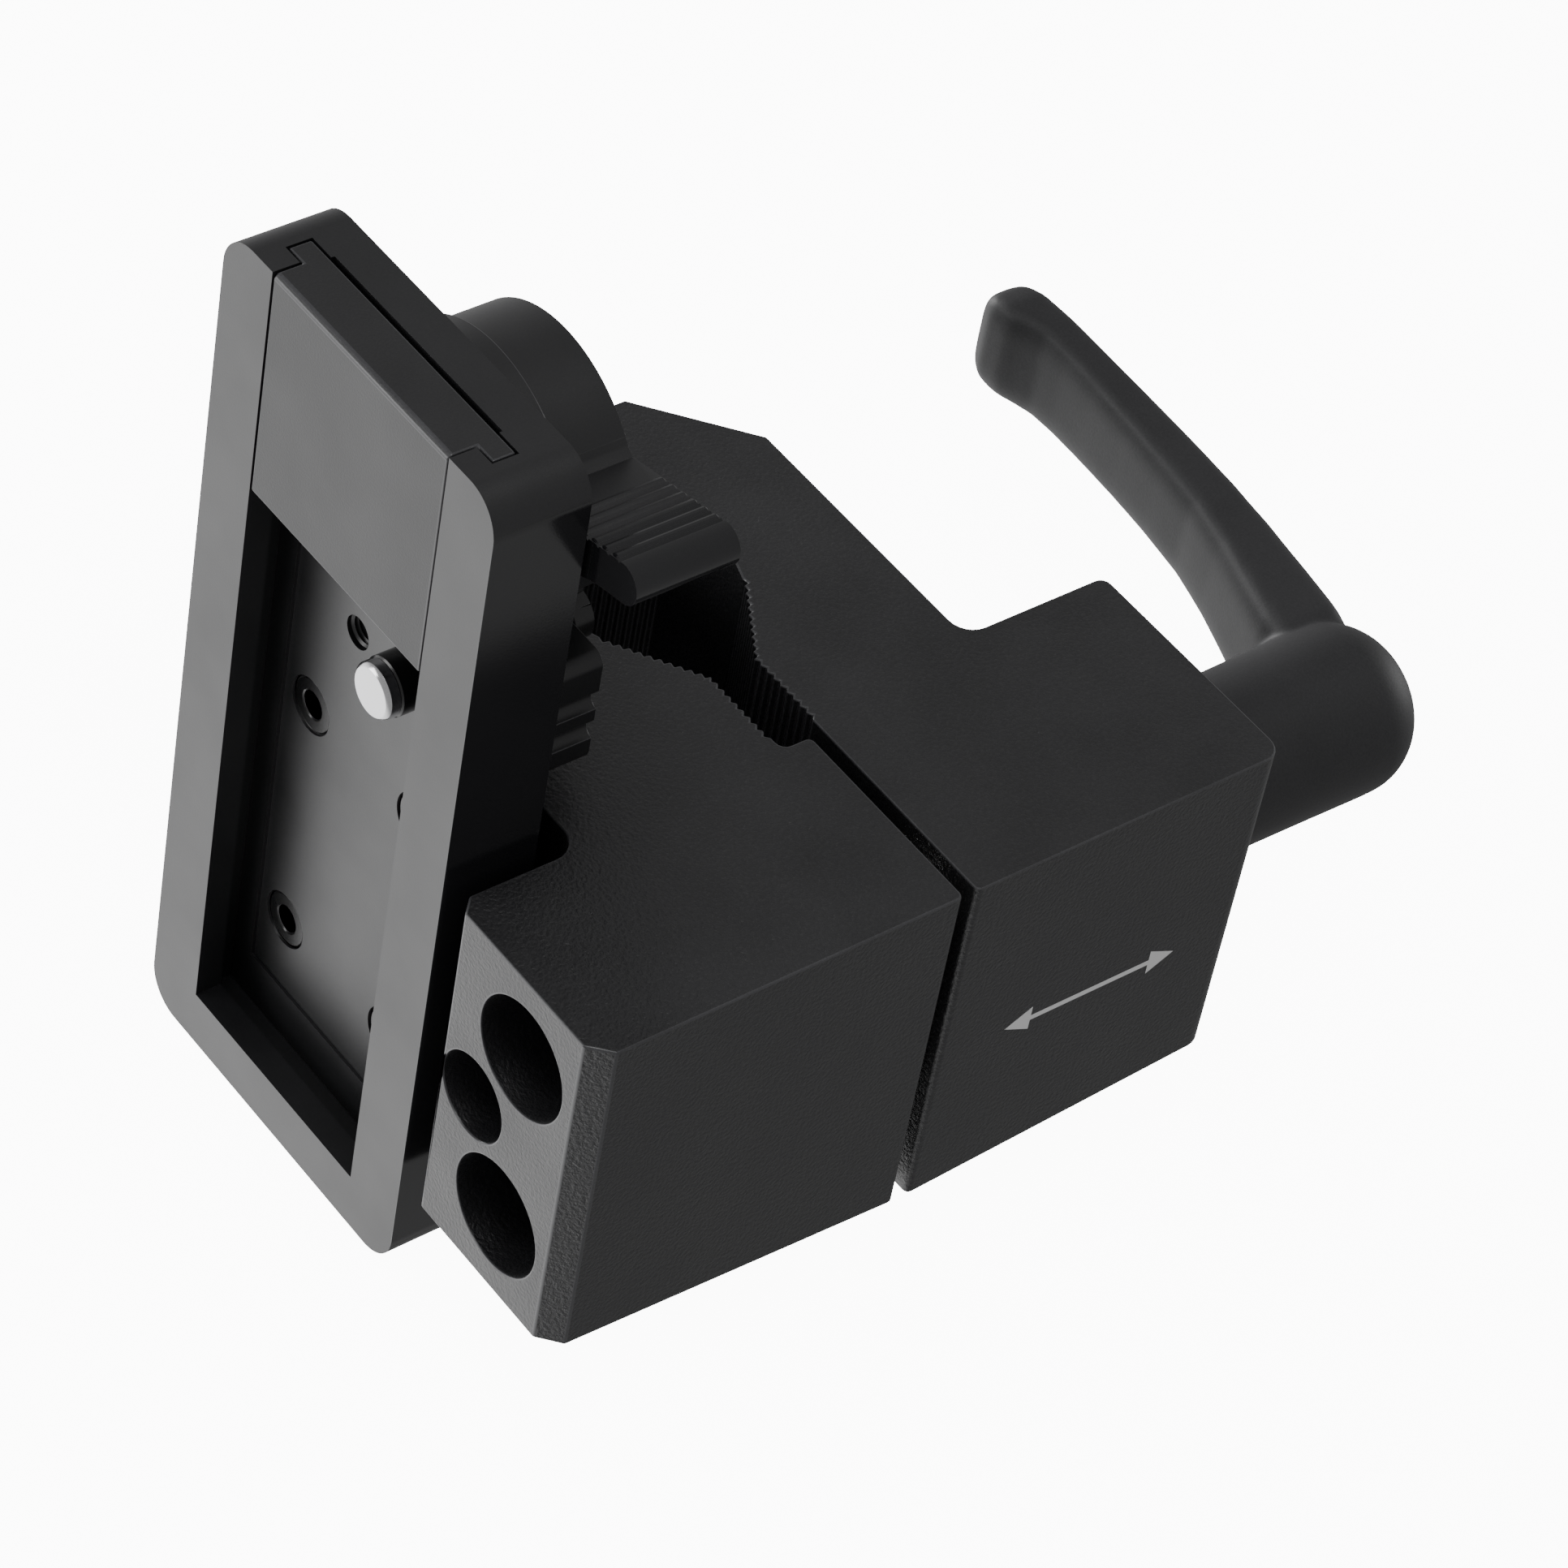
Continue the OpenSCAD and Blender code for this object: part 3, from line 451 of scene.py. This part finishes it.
def thread_turns():
    """The cut thread in the accessory hole, as a rising ridge on the hole's wall."""
    turns, steps, start_y, pitch = 7, 36, 9.2, 0.72
    ridge = [(0.06, -0.34), (-0.36, 0.0), (0.06, 0.34)]
    points = []
    for i in range(turns * steps + 1):
        turn = 2 * math.pi * i / steps
        points.append(Vector((THREAD_X + THREAD_R * math.cos(turn), start_y + pitch * i / steps,
                              THREAD_Z + THREAD_R * math.sin(turn))))
    work = bmesh.new()
    swept(work, points, ridge)
    return place_piece(finished_mesh(work, "accessory_thread_turns"), "accessory_thread_turns",
                       "receiver_frame", stands_for=False)


# ---------------------------------------------------------------- springs

def coil_points(x, z, radius, y0, y1, turns):
    """Points of a coil about the line through x and z along Y; its end turns lie close together."""
    steps, end_closeness = 28, 0.06
    points = []
    for i in range(int(turns * steps) + 1):
        k = i / (turns * steps)
        rise = k - end_closeness * math.sin(2 * math.pi * k)
        turn = 2 * math.pi * turns * k
        points.append(Vector((x + radius * math.cos(turn), y0 + (y1 - y0) * rise,
                              z + radius * math.sin(turn))))
    return points


def coil_spring(name, node, x, z, outer_d, wire, y0, y1, turns):
    """A real coil of round wire in place of the frame's stack of rings."""
    wire_r = wire / 2
    profile = [(wire_r * math.cos(math.radians(a)), wire_r * math.sin(math.radians(a)))
               for a in range(0, 360, 36)]
    work = bmesh.new()
    swept(work, coil_points(x, z, outer_d / 2 - wire_r, y0 + wire_r, y1 - wire_r, turns), profile)
    return place_piece(finished_mesh(work, name), name, node)


# ---------------------------------------------------------------- thumb tab and travel mark

def rounded_ribs(mesh):
    """Adds the half-round ridges that run along Y over the thumb tab, between its valleys."""
    count, pitch, first, rib_r, steps = 6, 2.2, 0.6, 0.98, 16
    over_tab = 2.35              # from the tab's middle plane to the ridges' centres
    ends = ((16.15, 0.8), (16.35, 1.0), (31.65, 1.0), (31.85, 0.8))   # y, and share of rib_r there
    slope = math.radians(13.3)
    along = Vector((math.cos(slope), 0, math.sin(slope)))
    outwards = Vector((-math.sin(slope), 0, math.cos(slope)))
    tip = Vector((36.4, 0, THUMB_HUB_Z + 12.1))      # the tab's end, on its middle plane
    work = bmesh.new()
    work.from_mesh(mesh)
    for i in range(count):
        centre = tip + outwards * over_tab - along * (first + (i + 0.5) * pitch)
        rings = []
        for y, size in ends:
            ring = []
            for k in range(steps):
                turn = 2 * math.pi * k / steps
                from_centre = (along * math.cos(turn) + outwards * math.sin(turn)) * rib_r * size
                ring.append(work.verts.new((centre + from_centre + Vector((0, y, 0))) * MM))
            rings.append(ring)
        capped_skin(work, rings)
    bmesh.ops.recalc_face_normals(work, faces=work.faces)
    work.to_mesh(mesh)
    work.free()


def travel_mark():
    """A plain white printed arrow with two heads on the moving jaw's side, along the way it travels."""
    middle_y, middle_z = 88, 42.5
    ink_x = (64.28, 64.33)       # the print's two faces, the first just under the jaw's side
    print_white = new_material("white_screen_print", Base_Color=linear("#e4e4e4"),
                               Roughness=0.45)[0]
    # one quarter of the arrow, as (along, above) from its middle
    quarter = [(0, 0.45), (10.5, 0.45), (10.5, 2.2), (15, 0)]
    outline = quarter + [(y, -z) for y, z in reversed(quarter[:-1])]
    outline += [(-y, -z) for y, z in quarter[1:]] + [(-y, z) for y, z in reversed(quarter[1:-1])]
    work = bmesh.new()
    layers = [[work.verts.new((x * MM, (middle_y + y) * MM, (middle_z + z) * MM))
               for y, z in outline] for x in ink_x]
    skin(work, layers)
    work.faces.new(layers[1])
    mesh = finished_mesh(work, "travel_arrow_print")
    mesh.materials.append(print_white)
    piece = bpy.data.objects.new("travel_arrow_print", mesh)
    bpy.context.scene.collection.objects.link(piece)
    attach(piece, "moving_jaw")


# ---------------------------------------------------------------- the clamp

for node_name, node_object in frame["nodes"].items():
    finish = FINISH[SLOT_OF[node_name]]
    if node_object.material_slots:
        for material_slot in node_object.material_slots:
            material_slot.material = finish
    else:
        node_object.data.materials.append(finish)

EASED = [
    # node, edge radius in mm, the piece's name
    ("receiver_frame", 0.25, "receiver_plate"),
    ("slide_plate", 0.3, "sliding_tee_plate"),
    ("pin_yoke", 0.2, "pin_yoke_plate"),
    ("base_disc", 0.3, "lever_base_disc"),
    ("release_lever", 0.22, "thumb_lever_casting"),
    ("release_cam", 0.06, "release_cam_stair"),
    ("pivot_screw", 0.25, "shouldered_pivot_screw"),
    ("pivot_washer", 0.12, "pivot_shim_washer"),
    ("latch_housing", 0.3, "latch_block"),
    ("latch_screws", 0.15, "latch_block_screws"),
    ("front_jaw", 0.35, "fixed_jaw"),
    ("rear_jaw", 0.35, "moving_jaw_casting"),
    ("upper_guide_rod", 0.4, "upper_ground_rod"),
    ("lower_guide_rod", 0.4, "lower_ground_rod"),
    ("guide_bushes", 0.2, "flanged_guide_bushes"),
    ("rod_end_washers", 0.15, "rod_stop_washers"),
    ("rod_end_screws", 0.2, "rod_stop_screws"),
    ("clamp_screw", 0.25, "long_clamp_screw"),
    ("thread_bush", 0.2, "threaded_bronze_bush"),
    ("screw_ring", 0.2, "screw_retaining_ring"),
    ("thrust_washer", 0.12, "hub_thrust_washer"),
    ("lever_insert", 0.2, "toothed_lever_insert"),
    ("lever_cap_screw", 0.2, "lever_retaining_screw"),
]
for node_name, edge_mm, piece_name in EASED:
    piece = eased(node_name, edge_mm, piece_name)
    if node_name == "release_lever":
        rounded_ribs(piece.data)

cast_lever()
# four screws in the receiver's pocket, this far to each side of the pocket's screw centre
screw_centre_z, beside, above = 47, 12.5, 20.75
frame_places = [(sx * beside, screw_centre_z + sz * above) for sx in (-1, 1) for sz in (-1, 1)]
countersunk_screws("countersunk_frame_screws", "frame_screws", frame_places,
                   head_r=4.2, shank_r=2.0, head_y=8.9, end_y=22.1, across=2.5)
# and four on a circle around the base disc
circle_r = 14
disc_places = [(circle_r * math.cos(math.radians(a)),
                THUMB_HUB_Z + circle_r * math.sin(math.radians(a))) for a in (45, 135, 225, 315)]
countersunk_screws("countersunk_disc_screws", "base_disc_screws", disc_places,
                   head_r=3.1, shank_r=1.5, head_y=8.8, end_y=18.6, across=2.0)
lock_pin_tip()
lock_pin_sleeve()
thread_turns()
travel_mark()

pin_coil = coil_spring("pin_return_coil", "pin_spring", PIN_X, PIN_Z,
                       outer_d=8.0, wire=1.0, y0=12.75, y1=25.15, turns=6)
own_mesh(pin_coil)
coil_spring("lever_return_coil", "lever_spring", 0.0, THUMB_HUB_Z,
            outer_d=14.0, wire=1.0, y0=22.05, y1=25.45, turns=3)
lift_coil = coil_spring("lever_lift_coil", "lever_lift_spring", SCREW_X, SCREW_Z,
                        outer_d=8.4, wire=1.1, y0=139.65, y1=152.95, turns=5)
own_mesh(lift_coil)


# ---------------------------------------------------------------- stage

def light_table():
    """The pale floor: a white table lit from within, which the object doesn't mirror."""
    bpy.ops.mesh.primitive_plane_add(size=6.0, location=(0, 0, -0.0005))
    table = bpy.context.object
    table.name = "light_table"
    paint = new_material("pale_light_table", Base_Color=linear("#f4f4f4"), Roughness=0.9,
                         Emission_Color=linear("#ffffff"), Emission_Strength=11.0)[0]
    table.data.materials.append(paint)
    table.visible_glossy = False
    table.visible_diffuse = False
    table.visible_shadow = False


def black_flags():
    """Black cloth under and beside the pole opening, which keeps stray light out of the jaws."""
    cloth = new_material("black_flag_cloth", Base_Color=linear("#050505"), Roughness=0.95)[0]
    flags = [
        # name, middle (m), size (m), turn about Y (degrees)
        ("lower_flag", (-0.026, 0.067, -0.0015), (0.108, 0.080), 0),
        ("side_flag", (-0.082, 0.065, 0.030), (0.090, 0.100), 90),
    ]
    for name, middle, (wide, deep), turn in flags:
        bpy.ops.mesh.primitive_plane_add(size=1.0, location=middle,
                                         rotation=(0, math.radians(turn), 0))
        flag = bpy.context.object
        flag.name = name
        flag.scale = (wide, deep, 1.0)
        flag.data.materials.append(cloth)
        flag.visible_camera = False


def studio_room():
    """The room: dim overall, with one broad bright side that the receiver faces."""
    bright_side = Vector((-0.52, -0.56, -0.64)).normalized()
    world = bpy.data.worlds.new("studio_room")
    world.use_nodes = True
    tree = world.node_tree
    direction = add_node(tree, "ShaderNodeTexCoord").outputs["Generated"]
    facing = add_node(tree, "ShaderNodeVectorMath", {0: direction}, operation="DOT_PRODUCT")
    facing.inputs[1].default_value = bright_side
    glow = add_node(tree, "ShaderNodeMapRange", {"Value": facing.outputs["Value"]},
                    interpolation_type="SMOOTHSTEP", From_Min=0.35, From_Max=1.0,
                    To_Min=0.34, To_Max=2.2)
    tree.nodes["Background"].inputs["Color"].default_value = linear("#ffffff")
    tree.links.new(glow.outputs["Result"], tree.nodes["Background"].inputs["Strength"])
    bpy.context.scene.world = world


def studio_lamps():
    """Soft square lamps, all turned to the middle of the clamp."""
    middle = Vector((0.01, 0.07, 0.06))
    lamps = [
        # name, place (m), size (m), power (W)
        ("front_left_softbox", (-0.9, -1.2, 0.6), 0.8, 8.0),
        ("overhead_softbox", (0.3, -0.2, 1.6), 0.8, 8.0),
        ("left_strip", (-1.5, 0.1, 0.12), 0.5, 14.0),
        ("back_strip", (0.1, 1.7, 0.12), 0.5, 6.0),
    ]
    for name, place, size, power in lamps:
        light = bpy.data.lights.new(name, "AREA")
        light.shape = "SQUARE"
        light.size = size
        light.energy = power
        lamp = bpy.data.objects.new(name, light)
        lamp.location = place
        lamp.rotation_euler = (middle - Vector(place)).to_track_quat("-Z", "Y").to_euler()
        bpy.context.scene.collection.objects.link(lamp)


aim_camera()
light_table()
black_flags()
studio_room()
studio_lamps()
